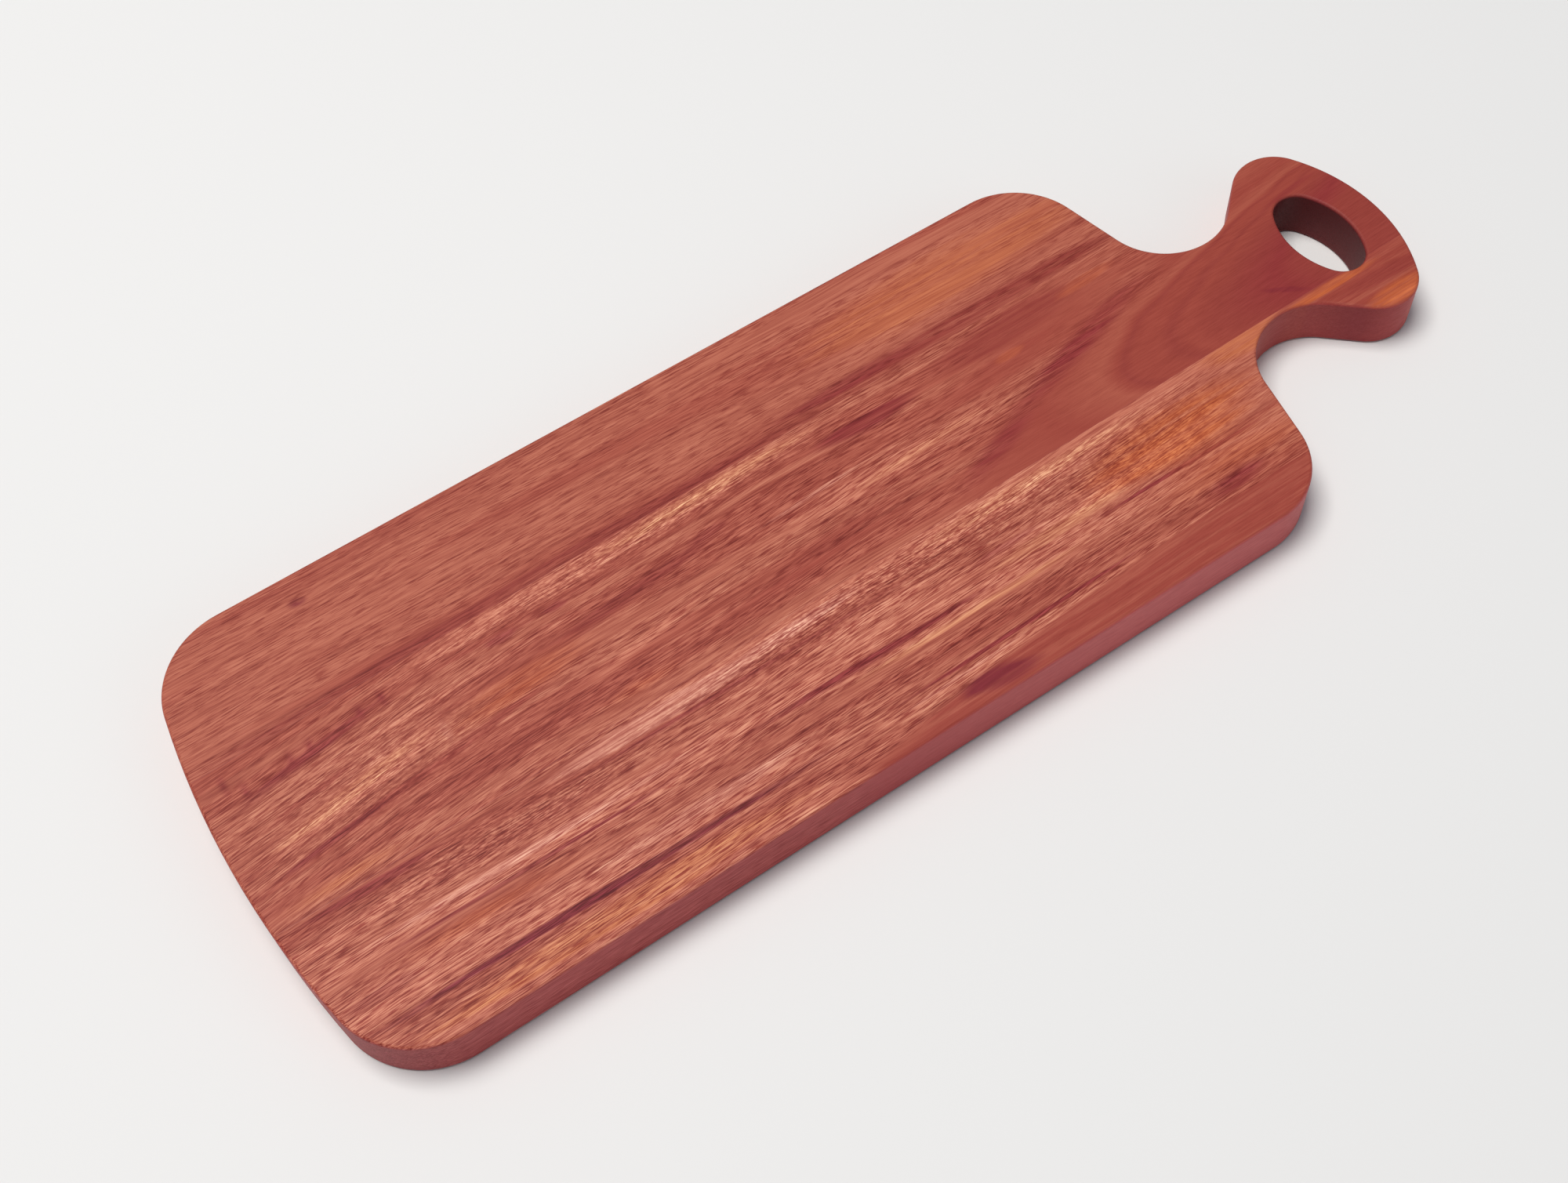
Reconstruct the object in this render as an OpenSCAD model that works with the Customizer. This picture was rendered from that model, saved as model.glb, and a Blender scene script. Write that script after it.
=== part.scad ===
// Paddle serving board: three wooden staves glued edge to edge and cut to one outline.
// X runs from the blunt end to the tip of the handle, Y across the board to its far side,
// and Z up from the face that the board lies on. The origin is under the middle of the board.

/* [Board] */
// Overall length, from the blunt end to the tip of the handle
board_length = 450; // [380:1:600]
// Width across the straight sides
board_width = 168; // [140:1:220]
// Thickness of the staves
board_thickness = 19; // [12:0.5:30]
// How far the blunt end bulges at its middle
end_bow = 10.5; // [4:0.5:16]
// Radius of the two corners at the blunt end
corner_radius = 30; // [15:1:45]
// Radius where each straight side turns in to the handle
shoulder_radius = 28; // [18:1:40]
// Angle between the straight sides and the slopes that run in to the neck
slope_angle = 78.5; // [55:0.5:88]
// How far the easing of every edge reaches in over the faces and down the walls
edge_easing = 1.2; // [0.6:0.1:2.4]

/* [Handle] */
// Width of the neck at its narrowest place
neck_width = 40; // [34:1:56]
// Radius of the hollow on each side of the neck
neck_radius = 24; // [16:1:32]
// Angle at which the neck flares out to the ears
flare_angle = 43; // [34:0.5:56]
// Width across the two ears
ear_span = 81; // [70:1:96]
// Radius of each ear
ear_radius = 16; // [10:0.5:20]
// Radius of the rounded tip
tip_radius = 64; // [54:1:100]

/* [Hand hole] */
// Length of the oval hole, across the board
hole_length = 39; // [30:0.5:46]
// Width of the oval hole, along the board
hole_width = 23.5; // [16:0.5:28]
// Distance from the tip to the middle of the hole
hole_to_tip = 25; // [20:0.5:30]

/* [Glue joints] */
// How far outside the ears the far joint passes, so that they stay whole
far_joint_offset = 0.2; // [0.2:0.1:5]
// Angle of the far joint to the length of the board
far_joint_skew = 1.05; // [0:0.05:2]
// How far inside the neck's edge the near joint passes: the near stave is this wide there
near_joint_offset = 1.45; // [1:0.05:10]
// Angle of the near joint to the length of the board
near_joint_skew = 1.2; // [0:0.05:2]
// Thickness of the dried glue
glue_thickness = 0.1; // [0.05:0.05:0.3]

/* [Hidden] */
$fn = 128;

// How far each arc reaches past the line or arc it runs into, so that the two cross
arc_overlap = 0.01;
// How far cuts and joint planes run past the wood
cut_clearance = 1;
// The easing is an arc whose centre lies this many times its reach inside the edge
easing_ratio = 1.3;
// How far the easing of a straight edge runs past its two ends
easing_lap = 0.2;

half_width = board_width / 2;
blunt_x = -board_length / 2;
tip_x = board_length / 2;

// Blunt end: one wide arc that runs into the two corner arcs
end_radius = (half_width ^ 2 + end_bow ^ 2) / (2 * end_bow);
end_centre = [blunt_x + end_radius, 0];
corner_y = half_width - corner_radius;
corner_centre = [end_centre.x - sqrt((end_radius - corner_radius) ^ 2 - corner_y ^ 2), corner_y];
end_angle = heading(corner_centre - end_centre);

// Handle, worked back from the tip: tip arc, ear, straight flare, neck, straight slope, shoulder
tip_centre = [tip_x - tip_radius, 0];
ear_y = ear_span / 2 - ear_radius;
ear_centre = [tip_centre.x + sqrt((tip_radius - ear_radius) ^ 2 - ear_y ^ 2), ear_y];
tip_angle = heading(ear_centre - tip_centre);

neck_y = neck_width / 2 + neck_radius;
flare_rise = ear_y - neck_y + (neck_radius + ear_radius) * cos(flare_angle);
flare_run = (neck_radius + ear_radius) * sin(flare_angle) + flare_rise / tan(flare_angle);
neck_centre = [ear_centre.x - flare_run, neck_y];

shoulder_y = half_width - shoulder_radius;
slope_drop = shoulder_y - neck_y + (shoulder_radius + neck_radius) * cos(slope_angle);
slope_run = (shoulder_radius + neck_radius) * sin(slope_angle) + slope_drop / tan(slope_angle);
shoulder_centre = [neck_centre.x - slope_run, shoulder_y];

// Ends of the straight stretches on the far side
side_start = corner_centre + [0, corner_radius];
side_end = shoulder_centre + [0, shoulder_radius];
slope_start = on_circle(shoulder_centre, shoulder_radius, 90 - slope_angle);
slope_end = on_circle(neck_centre, neck_radius, 270 - slope_angle);
flare_start = on_circle(neck_centre, neck_radius, flare_angle - 90);
flare_end = on_circle(ear_centre, ear_radius, flare_angle + 90);
straight_edges = [[side_start, side_end], [slope_start, slope_end], [flare_start, flare_end]];

// The straight-sided core inside the arcs, kept clear of the easing on the two end arcs
core_inset = 2 * edge_easing;
half_core = [
    on_circle(end_centre, end_radius - core_inset, end_angle), corner_centre, side_start,
    side_end, shoulder_centre, slope_start,
    slope_end, flare_start,
    flare_end, ear_centre, on_circle(tip_centre, tip_radius - core_inset, tip_angle)
];

// Hand hole: an oval of four arcs, drawn as for a four-centre ellipse
hole_centre = [tip_x - hole_to_tip, 0];
half_hole = [hole_width / 2, hole_length / 2];
hole_stretch = half_hole.y - half_hole.x;
hole_end_radius = norm(half_hole) * (norm(half_hole) - hole_stretch) / hole_length;
hole_flank_radius = norm(half_hole) * (norm(half_hole) + hole_stretch) / hole_width;
hole_end_centre = [0, half_hole.y - hole_end_radius];
hole_flank_centre = [half_hole.x - hole_flank_radius, 0];

// Glue joints: where the two joints, which run past an ear and past a neck hollow, cross X = 0
far_joint_y = crossing(ear_centre, ear_radius + far_joint_offset, far_joint_skew);
near_joint_y = crossing(across(neck_centre), neck_radius + near_joint_offset, near_joint_skew);
half_glue = glue_thickness / 2;

function heading(v) = atan2(v.y, v.x);
function on_circle(centre, radius, angle) = centre + radius * [cos(angle), sin(angle)];
function across(point) = [point.x, -point.y];
// Where a line at an angle to X crosses X = 0, if it passes a point on its far side at a distance
function crossing(point, distance, angle) = point.y + distance / cos(angle) - point.x * tan(angle);
function mirrored(points) = [for (i = [len(points) - 1 : -1 : 0]) across(points[i])];

// Its children on the far side and again on the near side
module both_sides() {
    children();
    mirror([0, 1, 0]) children();
}

// Section that eases the two edges of a wall at x = 0 whose wood lies at x < 0
module easing_section() {
    inset = easing_ratio * edge_easing;
    radius = norm([inset, inset - edge_easing]);
    module top_edge() {
        difference() {
            translate([-inset, -inset]) square(inset + cut_clearance);
            translate([-inset, -inset]) circle(radius);
        }
    }
    mirror([0, 1]) top_edge();
    translate([0, board_thickness]) top_edge();
}

// Round piece of wood with eased edges
module puck(centre, radius) {
    translate(centre) rotate_extrude() difference() {
        square([radius, board_thickness]);
        translate([radius, 0]) easing_section();
    }
}

// The outer stretch of a puck, between the centre of the arc that it runs into and that point's mirror image
module end_sector(centre, radius, inner) {
    beyond = on_circle(centre, 2 * radius, heading(inner - centre));
    intersection() {
        puck(centre, radius);
        linear_extrude(board_thickness) polygon([inner, beyond, across(beyond), across(inner)]);
    }
}

// Round cut whose rims are eased
module spool(centre, radius) {
    translate(centre) rotate_extrude() {
        translate([0, -cut_clearance]) square([radius, board_thickness + 2 * cut_clearance]);
        translate([radius, 0]) mirror([1, 0]) easing_section();
    }
}

// Cut that eases one straight edge, which has its wood on the right
module straight_easing(start, end) {
    along = end - start;
    translate(start) rotate(heading(along)) translate([-easing_lap, 0, 0])
        rotate([90, 0, 90]) linear_extrude(norm(along) + 2 * easing_lap) easing_section();
}

module straight_core() {
    difference() {
        linear_extrude(board_thickness) polygon(concat(half_core, mirrored(half_core)));
        both_sides() for (edge = straight_edges) straight_easing(edge[0], edge[1]);
    }
}

// One long side of the hole, from the middle line out to its flank
module hole_flank() {
    beyond = hole_flank_centre + 2 * (hole_end_centre - hole_flank_centre);
    intersection() {
        spool(hole_flank_centre, hole_flank_radius);
        translate([0, 0, -2 * cut_clearance]) linear_extrude(board_thickness + 4 * cut_clearance)
            polygon([hole_end_centre, beyond, across(beyond), across(hole_end_centre)]);
    }
}

// The board cut to its outline, with no hole yet
module paddle() {
    difference() {
        union() {
            straight_core();
            both_sides() {
                puck(corner_centre, corner_radius + arc_overlap);
                puck(shoulder_centre, shoulder_radius + arc_overlap);
                puck(ear_centre, ear_radius + arc_overlap);
            }
            end_sector(end_centre, end_radius, corner_centre);
            end_sector(tip_centre, tip_radius, ear_centre);
        }
        both_sides() spool(neck_centre, neck_radius + arc_overlap);
    }
}

// The whole board, before it is divided at the glue joints: the hole's flanks are cut first, then its ends
module board_blank() {
    difference() {
        difference() {
            paddle();
            translate(hole_centre) {
                hole_flank();
                mirror([1, 0, 0]) hole_flank();
            }
        }
        translate(hole_centre) both_sides() spool(hole_end_centre, hole_end_radius + arc_overlap);
    }
}

// Everything on the far side of a plane that crosses X = 0 at y and runs at an angle to X
module far_of(y, angle) {
    reach = board_length + board_width;
    translate([0, y, -cut_clearance]) rotate(angle) translate([-reach, 0, 0])
        cube([2 * reach, reach, board_thickness + 2 * cut_clearance]);
}

// Everything on the near side of such a plane
module near_of(y, angle) {
    mirror([0, 1, 0]) far_of(-y, -angle);
}

// The strip between the two faces of a glue film
module glue_film(y, angle) {
    difference() {
        far_of(y - half_glue, angle);
        far_of(y + half_glue, angle);
    }
}

// Everything on the tip's side of the middle of the hole
module tip_side() {
    translate([hole_centre.x, -board_width, -cut_clearance])
        cube([board_length, 2 * board_width, board_thickness + 2 * cut_clearance]);
}

module far_stave() {
    color([0.72, 0.41, 0.29]) intersection() {
        board_blank();
        far_of(far_joint_y + half_glue, far_joint_skew);
    }
}

module centre_stave() {
    color([0.60, 0.29, 0.22]) difference() {
        board_blank();
        far_of(far_joint_y - half_glue, far_joint_skew);
        near_of(near_joint_y + half_glue, near_joint_skew);
    }
}

module near_stave() {
    color([0.80, 0.48, 0.34]) intersection() {
        board_blank();
        near_of(near_joint_y - half_glue, near_joint_skew);
    }
}

module far_glue_line() {
    color([0.36, 0.19, 0.13]) intersection() {
        board_blank();
        glue_film(far_joint_y, far_joint_skew);
    }
}

module near_glue_line() {
    color([0.36, 0.19, 0.13]) difference() {
        intersection() {
            board_blank();
            glue_film(near_joint_y, near_joint_skew);
        }
        tip_side();
    }
}

module tip_glue_line() {
    color([0.36, 0.19, 0.13]) intersection() {
        board_blank();
        glue_film(near_joint_y, near_joint_skew);
        tip_side();
    }
}

far_stave();
centre_stave();
near_stave();
far_glue_line();
near_glue_line();
tip_glue_line();
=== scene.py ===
"""Paddle serving board: three staves of oiled hardwood glued edge to edge, on a pale studio floor."""

import logging
import math
from dataclasses import dataclass
from enum import Enum
from typing import ClassVar

import bmesh
import bpy
from mathutils import Matrix, Vector


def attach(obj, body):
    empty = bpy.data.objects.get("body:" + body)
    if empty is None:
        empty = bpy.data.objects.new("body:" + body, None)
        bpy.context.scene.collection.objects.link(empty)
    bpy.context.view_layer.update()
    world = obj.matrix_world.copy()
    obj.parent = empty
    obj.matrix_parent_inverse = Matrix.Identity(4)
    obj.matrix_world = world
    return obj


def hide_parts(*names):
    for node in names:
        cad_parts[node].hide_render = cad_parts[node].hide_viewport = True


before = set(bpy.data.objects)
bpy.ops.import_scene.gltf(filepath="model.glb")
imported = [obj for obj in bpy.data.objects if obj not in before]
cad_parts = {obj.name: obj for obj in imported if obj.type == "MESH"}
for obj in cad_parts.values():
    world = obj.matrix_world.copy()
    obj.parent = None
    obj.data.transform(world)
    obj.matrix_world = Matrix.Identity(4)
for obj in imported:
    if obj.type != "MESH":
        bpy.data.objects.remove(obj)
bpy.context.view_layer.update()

LOG = logging.getLogger("serving_board")
MM = 0.001
WELD_DISTANCE = 1e-6

Triple = tuple[float, float, float]
Colour = Triple
Socket = bpy.types.NodeSocket
Field = Socket | float

ORIGIN: Triple = (0.0, 0.0, 0.0)


class Side(Enum):
    """Which side of a joint a piece of wood lies on."""

    FAR = 1
    NEAR = -1


class Slot(Enum):
    """The record's material slots."""

    FAR_WOOD = "far_wood"
    CENTRE_WOOD = "centre_wood"
    NEAR_WOOD = "near_wood"
    GLUE = "glue"


class Tone(Enum):
    """The colours that run through the wood, and the painted shade and light of its walls, as linear
    light.
    """

    # Painted shade: a near-black tone laid on the hand hole's wall, standing for the shade inside the
    # hole.
    HOLE_SHADE = (0.105, 0.011, 0.013)
    PLUM = (0.210, 0.018, 0.026)
    MAROON = (0.265, 0.030, 0.029)
    BRICK = (0.290, 0.044, 0.032)
    RUST = (0.325, 0.054, 0.036)
    CHESTNUT = (0.390, 0.085, 0.053)
    COPPER = (0.445, 0.118, 0.072)
    AMBER = (0.490, 0.108, 0.046)
    EMBER = (0.505, 0.108, 0.034)
    GINGER = (0.530, 0.145, 0.062)
    # Painted shade: a darker, purpler rose tone that the walls are blended towards, standing for the shade
    # they lie in.
    WALL_SHADE_ROSE = (0.480, 0.072, 0.077)
    # Painted light: a light, cool pink laid on the long near wall, standing for cool light reflected onto
    # it.
    WALL_COOL_LIGHT = (0.600, 0.125, 0.120)
    HONEY = (0.540, 0.158, 0.098)
    APRICOT = (0.655, 0.163, 0.062)
    STRAW = (0.640, 0.235, 0.125)
    BLUSH = (0.650, 0.245, 0.170)


@dataclass(frozen=True)
class Arc:
    """A circle in the board's plane, in metres."""

    x: float
    y: float
    radius: float

    def at(self, degrees: float) -> Vector:
        """The point of the circle at an angle from X."""
        turn = math.radians(degrees)
        return Vector((self.x + self.radius * math.cos(turn), self.y + self.radius * math.sin(turn), 0.0))

    def heading(self, other: "Arc") -> float:
        """The direction from this centre to another, in degrees from X."""
        return math.degrees(math.atan2(other.y - self.y, other.x - self.x))


class Tracer:
    """Draws a wire in a bmesh by spinning and pulling its last vertex."""

    STEP_DEGREES = 2.5
    FEWEST_STEPS = 8

    def __init__(self, mesh: bmesh.types.BMesh, start: Vector) -> None:
        """Put the first vertex down.

        Args:
            mesh: The bmesh that takes the wire.
            start: Where the wire starts.
        """
        self.mesh = mesh
        self.first = mesh.verts.new(start)
        self.last = self.first

    def turn(self, about: Arc, degrees: float) -> None:
        """Spin the last vertex along an arc.

        Args:
            about: The arc whose centre it turns about.
            degrees: How far it turns, counter-clockwise.
        """
        steps = max(self.FEWEST_STEPS, round(abs(degrees) / self.STEP_DEGREES))
        made = bmesh.ops.spin(
            self.mesh,
            geom=[self.last],
            cent=(about.x, about.y, 0.0),
            axis=(0.0, 0.0, 1.0),
            angle=math.radians(degrees),
            steps=steps,
            use_merge=False,
            use_duplicate=False,
        )
        self.last = next(item for item in made["geom_last"] if isinstance(item, bmesh.types.BMVert))

    def pull(self, end: Vector) -> None:
        """Pull the last vertex out along a straight line.

        Args:
            end: Where the line ends.
        """
        made = bmesh.ops.extrude_vert_indiv(self.mesh, verts=[self.last])
        self.last = made["verts"][0]
        bmesh.ops.translate(self.mesh, verts=[self.last], vec=end - self.last.co)

    def close(self) -> None:
        """Join the last vertex to the first and fill the loop."""
        bmesh.ops.contextual_create(self.mesh, geom=[self.last, self.first])
        bmesh.ops.contextual_create(self.mesh, geom=self.mesh.edges[:])


@dataclass(frozen=True)
class GlueJoint:
    """A straight joint between two staves, as a plane that stands on the board's face."""

    crossing_y: float
    skew_degrees: float

    def plane(self, offset: float) -> tuple[Vector, Vector]:
        """A plane beside the joint.

        Args:
            offset: How far the plane lies to the far side of the joint.

        Returns:
            A point of the plane, and its direction to the far side.
        """
        turn = math.radians(self.skew_degrees)
        point = Vector((0.0, self.crossing_y + offset, 0.0))
        return point, Vector((-math.sin(turn), math.cos(turn), 0.0))


@dataclass(frozen=True)
class Blank:
    """The whole board cut to its outline, before it is divided into staves. Sizes are in metres."""

    length: float = 450 * MM
    width: float = 168 * MM
    thickness: float = 19 * MM
    end_bow: float = 10.5 * MM
    corner_radius: float = 30 * MM
    shoulder_radius: float = 28 * MM
    slope_degrees: float = 78.5
    neck_width: float = 40 * MM
    neck_radius: float = 24 * MM
    flare_degrees: float = 43.0
    ear_span: float = 81 * MM
    ear_radius: float = 16 * MM
    tip_radius: float = 64 * MM
    hole_length: float = 39 * MM
    hole_width: float = 23.5 * MM
    hole_to_tip: float = 25 * MM
    easing: float = 1.25 * MM
    easing_segments: int = 5

    LEVEL_SLOPE: ClassVar[float] = 0.5
    ROUND_PROFILE: ClassVar[float] = 0.5
    KEEP_MATERIAL: ClassVar[int] = -1

    @property
    def hole_x(self) -> float:
        """Where the middle of the hand hole lies along the board."""
        return self.length / 2 - self.hole_to_tip

    @property
    def end_arc(self) -> Arc:
        """The wide arc of the blunt end."""
        half = self.width / 2
        radius = (half ** 2 + self.end_bow ** 2) / (2 * self.end_bow)
        return Arc(radius - self.length / 2, 0.0, radius)

    @property
    def corner_arc(self) -> Arc:
        """The far corner of the blunt end."""
        end = self.end_arc
        y = self.width / 2 - self.corner_radius
        reach = math.sqrt((end.radius - self.corner_radius) ** 2 - y ** 2)
        return Arc(end.x - reach, y, self.corner_radius)

    @property
    def tip_arc(self) -> Arc:
        """The rounded tip of the handle."""
        return Arc(self.length / 2 - self.tip_radius, 0.0, self.tip_radius)

    @property
    def ear_arc(self) -> Arc:
        """The far ear of the handle."""
        y = self.ear_span / 2 - self.ear_radius
        reach = math.sqrt((self.tip_radius - self.ear_radius) ** 2 - y ** 2)
        return Arc(self.tip_arc.x + reach, y, self.ear_radius)

    @property
    def neck_arc(self) -> Arc:
        """The far hollow of the neck."""
        turn = math.radians(self.flare_degrees)
        y = self.neck_width / 2 + self.neck_radius
        both = self.neck_radius + self.ear_radius
        rise = self.ear_arc.y - y + both * math.cos(turn)
        run = both * math.sin(turn) + rise / math.tan(turn)
        return Arc(self.ear_arc.x - run, y, self.neck_radius)

    @property
    def shoulder_arc(self) -> Arc:
        """The far shoulder, where the side turns in to the neck."""
        turn = math.radians(self.slope_degrees)
        y = self.width / 2 - self.shoulder_radius
        both = self.shoulder_radius + self.neck_radius
        drop = y - self.neck_arc.y + both * math.cos(turn)
        run = both * math.sin(turn) + drop / math.tan(turn)
        return Arc(self.neck_arc.x - run, y, self.shoulder_radius)

    def trace_far_half(self, mesh: bmesh.types.BMesh) -> None:
        """Draw the far half of the board's face, out to the outline and in to the hand hole.

        Args:
            mesh: The bmesh that takes the face.
        """
        end, corner, shoulder = self.end_arc, self.corner_arc, self.shoulder_arc
        neck, ear, tip = self.neck_arc, self.ear_arc, self.tip_arc
        end_heading = end.heading(corner)
        tip_heading = tip.heading(ear)
        pen = Tracer(mesh, end.at(180.0))
        pen.turn(end, end_heading - 180.0)
        pen.turn(corner, 90.0 - end_heading)
        pen.pull(shoulder.at(90.0))
        pen.turn(shoulder, -self.slope_degrees)
        pen.pull(neck.at(270.0 - self.slope_degrees))
        pen.turn(neck, self.slope_degrees + self.flare_degrees)
        pen.pull(ear.at(90.0 + self.flare_degrees))
        pen.turn(ear, tip_heading - 90.0 - self.flare_degrees)
        pen.turn(tip, -tip_heading)
        self.trace_far_hole(pen)
        pen.close()

    def trace_far_hole(self, pen: Tracer) -> None:
        """Take the wire in from the tip and round the far half of the oval hole, drawn with four arcs.

        Args:
            pen: The tracer, whose last vertex is at the tip.
        """
        half_x, half_y = self.hole_width / 2, self.hole_length / 2
        diagonal = math.hypot(half_x, half_y)
        end_radius = diagonal * (diagonal - half_y + half_x) / self.hole_length
        flank_radius = diagonal * (diagonal + half_y - half_x) / self.hole_width
        end = Arc(self.hole_x, half_y - end_radius, end_radius)
        flank_reach = flank_radius - half_x
        tip_flank = Arc(self.hole_x - flank_reach, 0.0, flank_radius)
        neck_flank = Arc(self.hole_x + flank_reach, 0.0, flank_radius)
        sweep = tip_flank.heading(end)
        pen.pull(tip_flank.at(0.0))
        pen.turn(tip_flank, sweep)
        pen.turn(end, 180.0 - 2 * sweep)
        pen.turn(neck_flank, sweep)

    def build(self) -> bmesh.types.BMesh:
        """Model the whole board with its eased edges.

        Returns:
            The bmesh of the board, lying on Z = 0.
        """
        mesh = bmesh.new()
        self.trace_far_half(mesh)
        everything = mesh.verts[:] + mesh.edges[:] + mesh.faces[:]
        bmesh.ops.mirror(mesh, geom=everything, matrix=Matrix(), merge_dist=WELD_DISTANCE, axis="Y")
        bmesh.ops.remove_doubles(mesh, verts=mesh.verts[:], dist=WELD_DISTANCE)
        raised = bmesh.ops.extrude_face_region(mesh, geom=mesh.faces[:])
        top = [item for item in raised["geom"] if isinstance(item, bmesh.types.BMVert)]
        bmesh.ops.translate(mesh, verts=top, vec=(0.0, 0.0, self.thickness))
        bmesh.ops.recalc_face_normals(mesh, faces=mesh.faces[:])
        self.ease_edges(mesh)
        return mesh

    def ease_edges(self, mesh: bmesh.types.BMesh) -> None:
        """Round every edge where a face of the board meets a wall.

        Args:
            mesh: The square-edged board.
        """
        def is_arris(edge: bmesh.types.BMEdge) -> bool:
            """Whether a level face and a wall meet at the edge."""
            slopes = sorted(abs(face.normal.z) for face in edge.link_faces)
            return slopes[0] < self.LEVEL_SLOPE < slopes[-1]

        arrises = [edge for edge in mesh.edges if is_arris(edge)]
        bmesh.ops.bevel(
            mesh,
            geom=arrises,
            offset=self.easing,
            offset_type="OFFSET",
            affect="EDGES",
            segments=self.easing_segments,
            profile=self.ROUND_PROFILE,
            material=self.KEEP_MATERIAL,
            clamp_overlap=True,
        )


@dataclass(frozen=True)
class Cut:
    """A saw cut through the blank that keeps the wood on one side."""

    point: Vector
    to_far: Vector
    keep: Side

    ANY_SIDES: ClassVar[int] = 0

    def make(self, mesh: bmesh.types.BMesh) -> None:
        """Cut a bmesh and close the sawn face.

        Args:
            mesh: The wood that is cut.
        """
        cut = bmesh.ops.bisect_plane(
            mesh,
            geom=mesh.verts[:] + mesh.edges[:] + mesh.faces[:],
            dist=WELD_DISTANCE,
            plane_co=self.point,
            plane_no=self.to_far,
            clear_outer=self.keep is Side.NEAR,
            clear_inner=self.keep is Side.FAR,
        )
        sawn = [item for item in cut["geom_cut"] if isinstance(item, bmesh.types.BMEdge)]
        if sawn:
            bmesh.ops.holes_fill(mesh, edges=sawn, sides=self.ANY_SIDES)


class Sheet:
    """A material's node tree, with one short method for each kind of node."""

    SHARE_INPUT = 0
    UNDER_INPUT = 6
    OVER_INPUT = 7
    MIXED_OUTPUT = 2
    READY_STOPS = 2
    NOISE_ROUGHNESS = 0.5

    def __init__(self, name: str) -> None:
        """Start a material.

        Args:
            name: The material's name.
        """
        self.material = bpy.data.materials.new(name)
        self.material.use_nodes = True
        self.tree = self.material.node_tree
        self.shader = self.tree.nodes["Principled BSDF"]
        self.place = self.node("TexCoord", {}).outputs["Object"]

    def node(self, kind: str, inputs: dict[str | int, object], **settings: object) -> bpy.types.Node:
        """Add a node.

        Args:
            kind: The node's type, without its first words.
            inputs: What goes in, each a socket to link or a value to set.
            settings: The node's own settings.

        Returns:
            The new node.
        """
        made = self.tree.nodes.new("ShaderNode" + kind)
        for key, value in settings.items():
            setattr(made, key, value)
        for key, value in inputs.items():
            self.feed(made.inputs[key], value)
        return made

    def feed(self, socket: Socket, value: object) -> None:
        """Link a socket into another, or set its value.

        Args:
            socket: The socket that takes the value.
            value: A socket, a number or a colour.
        """
        if isinstance(value, bpy.types.NodeSocket):
            self.tree.links.new(value, socket)
        else:
            socket.default_value = value

    def sum(self, first: Field, second: Field) -> Socket:
        """One value plus another."""
        return self.node("Math", {0: first, 1: second}, operation="ADD").outputs[0]

    def product(self, first: Field, second: Field) -> Socket:
        """One value times another."""
        return self.node("Math", {0: first, 1: second}, operation="MULTIPLY").outputs[0]

    def larger(self, first: Field, second: Field) -> Socket:
        """The larger of two values."""
        return self.node("Math", {0: first, 1: second}, operation="MAXIMUM").outputs[0]

    def swing(self, value: Field, reach: float) -> Socket:
        """A value from 0 to 1 turned into one from minus half its reach to plus half."""
        return self.node("Math", {0: value, 1: reach, 2: -reach / 2}, operation="MULTIPLY_ADD").outputs[0]

    def ease(self, value: Field, start: float, end: float) -> Socket:
        """A smooth step from 0 at start to 1 at end."""
        inputs = {"Value": value, "From Min": start, "From Max": end}
        return self.node("MapRange", inputs, interpolation_type="SMOOTHSTEP").outputs["Result"]

    def spread(self, value: Field, low: float, high: float) -> Socket:
        """A value from 0 to 1 spread between two others."""
        return self.node("MapRange", {"Value": value, "To Min": low, "To Max": high}).outputs["Result"]

    def split(self, place: Socket) -> tuple[Socket, Socket, Socket]:
        """The three coordinates of a place."""
        parts = self.node("SeparateXYZ", {"Vector": place}).outputs
        return parts["X"], parts["Y"], parts["Z"]

    def join(self, x: Field, y: Field, z: Field) -> Socket:
        """A place from its three coordinates."""
        return self.node("CombineXYZ", {"X": x, "Y": y, "Z": z}).outputs["Vector"]

    def shift(self, place: Socket, by: Socket) -> Socket:
        """A place moved by a vector."""
        return self.node("VectorMath", {0: place, 1: by}, operation="ADD").outputs["Vector"]

    def stretch(self, place: Socket, size: Triple, centre: Triple = ORIGIN, turn: float = 0.0) -> Socket:
        """Coordinates in which one unit is one feature of a pattern.

        Args:
            place: The coordinates to start from, in metres.
            size: A feature's length, width and depth in millimetres.
            centre: Where the pattern is centred, in millimetres.
            turn: How far the pattern is turned in the board's plane, in degrees.

        Returns:
            The coordinates in features.
        """
        inputs = {
            "Vector": place,
            "Location": tuple(part * MM for part in centre),
            "Rotation": (0.0, 0.0, math.radians(turn)),
            "Scale": tuple(part * MM for part in size),
        }
        return self.node("Mapping", inputs, vector_type="TEXTURE").outputs["Vector"]

    def cloud(self, place: Socket, detail: float) -> Socket:
        """Soft noise from 0 to 1."""
        inputs = {"Vector": place, "Scale": 1.0, "Detail": detail, "Roughness": self.NOISE_ROUGHNESS}
        return self.node("TexNoise", inputs).outputs["Fac"]

    def blend(self, under: object, over: object, share: Field, mode: str = "MIX") -> Socket:
        """One colour over another.

        Args:
            under: The colour below.
            over: The colour on top.
            share: How much of the upper colour shows.
            mode: How the two are mixed.

        Returns:
            The mixed colour.
        """
        colours = [c if isinstance(c, bpy.types.NodeSocket) else (*c, 1.0) for c in (under, over)]
        inputs = {self.SHARE_INPUT: share, self.UNDER_INPUT: colours[0], self.OVER_INPUT: colours[1]}
        return self.node("Mix", inputs, data_type="RGBA", blend_type=mode).outputs[self.MIXED_OUTPUT]

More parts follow.
